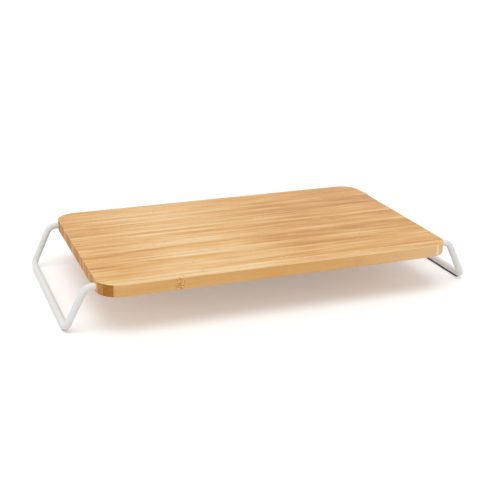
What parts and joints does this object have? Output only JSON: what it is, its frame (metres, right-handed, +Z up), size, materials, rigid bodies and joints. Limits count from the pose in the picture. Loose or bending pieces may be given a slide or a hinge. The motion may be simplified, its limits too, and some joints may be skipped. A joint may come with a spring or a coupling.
{
  "type": "raised cutting board",
  "caption": "Rectangular bamboo cutting board that bridges a plate on two plug-in legs of bent white wire, with a grip strip under each leg's rail.",
  "frame": {"origin": "on the table, under the middle of the board", "axes": "+X along the board from the left leg to the right leg, +Y from the front edge to the back edge, +Z up"},
  "size_m": [0.4716, 0.264, 0.0554],
  "materials": {
    "bamboo": "varnished vertical-grain bamboo, satin",
    "coated_wire": "white powder coat, satin",
    "grip_rubber": "matte dark rubber"
  },
  "bodies": {
    "board": {"bamboo_strip_01": "bamboo", "bamboo_strip_02": "bamboo", "bamboo_strip_03": "bamboo", "bamboo_strip_04": "bamboo", "bamboo_strip_05": "bamboo", "bamboo_strip_06": "bamboo", "bamboo_strip_07": "bamboo", "bamboo_strip_08": "bamboo", "bamboo_strip_09": "bamboo", "bamboo_strip_10": "bamboo", "bamboo_strip_11": "bamboo", "bamboo_strip_12": "bamboo", "bamboo_strip_13": "bamboo", "bamboo_strip_14": "bamboo", "bamboo_strip_15": "bamboo", "bamboo_strip_16": "bamboo", "bamboo_strip_17": "bamboo", "bamboo_strip_18": "bamboo", "bamboo_strip_19": "bamboo", "bamboo_strip_20": "bamboo", "bamboo_strip_21": "bamboo", "bamboo_strip_22": "bamboo", "bamboo_strip_23": "bamboo", "bamboo_strip_24": "bamboo", "bamboo_strip_25": "bamboo", "bamboo_strip_26": "bamboo", "bamboo_strip_27": "bamboo", "bamboo_strip_28": "bamboo", "bamboo_strip_29": "bamboo", "bamboo_strip_30": "bamboo", "bamboo_strip_31": "bamboo", "bamboo_strip_32": "bamboo", "bamboo_strip_33": "bamboo", "bamboo_strip_34": "bamboo", "bamboo_strip_35": "bamboo", "bamboo_strip_36": "bamboo", "bamboo_strip_37": "bamboo"},
    "left_stand": {"left_leg": "coated_wire", "left_rail_grip": "grip_rubber"},
    "right_stand": {"right_leg": "coated_wire", "right_rail_grip": "grip_rubber"}
  },
  "joints": [
    {"name": "left_leg_pull", "type": "slide", "parent": "board", "child": "left_stand", "axis": [-1, 0, 0], "range_m": [0, 0.05]},
    {"name": "right_leg_pull", "type": "slide", "parent": "board", "child": "right_stand", "axis": [1, 0, 0], "range_m": [0, 0.05]}
  ]
}
